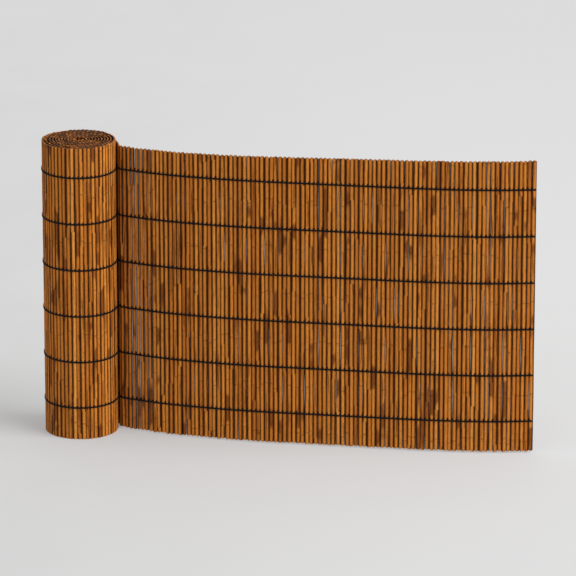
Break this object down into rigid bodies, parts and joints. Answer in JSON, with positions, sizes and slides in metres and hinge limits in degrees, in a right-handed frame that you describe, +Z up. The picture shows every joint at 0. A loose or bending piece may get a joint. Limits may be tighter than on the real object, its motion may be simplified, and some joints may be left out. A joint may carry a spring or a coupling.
{
  "type": "bamboo reed fence",
  "caption": "Fence of upright split-bamboo slats bound with rows of dark twine, part rolled up on end and part unrolled in a shallow curve.",
  "frame": {"origin": "middle of the outline in plan, on the floor the fence stands on", "axes": "+Z up along the slats; +X along the free run, away from the roll; +Y to the back, away from the viewer"},
  "size_m": [1.6127, 0.4012, 1],
  "materials": {
    "bamboo": "natural split bamboo, satin outer skin, warm tan to red-brown, with darker joints and end grain",
    "twine": "near-black twisted twine, matte"
  },
  "bodies": {
    "root": {"roll_turn_1": "bamboo", "roll_turn_2": "bamboo", "roll_turn_3": "bamboo", "roll_turn_4": "bamboo", "roll_turn_5": "bamboo", "roll_turn_6": "bamboo", "roll_turn_7": "bamboo", "roll_turn_8": "bamboo", "roll_turn_9": "bamboo", "roll_turn_10": "bamboo", "roll_turn_11": "bamboo", "run_section_1": "bamboo", "run_section_2": "bamboo", "run_section_3": "bamboo", "run_section_4": "bamboo", "run_section_5": "bamboo", "run_section_6": "bamboo", "run_section_7": "bamboo", "run_section_8": "bamboo", "binding_row_1": "twine", "binding_row_2": "twine", "binding_row_3": "twine", "binding_row_4": "twine", "binding_row_5": "twine", "binding_row_6": "twine"}
  },
  "joints": []
}
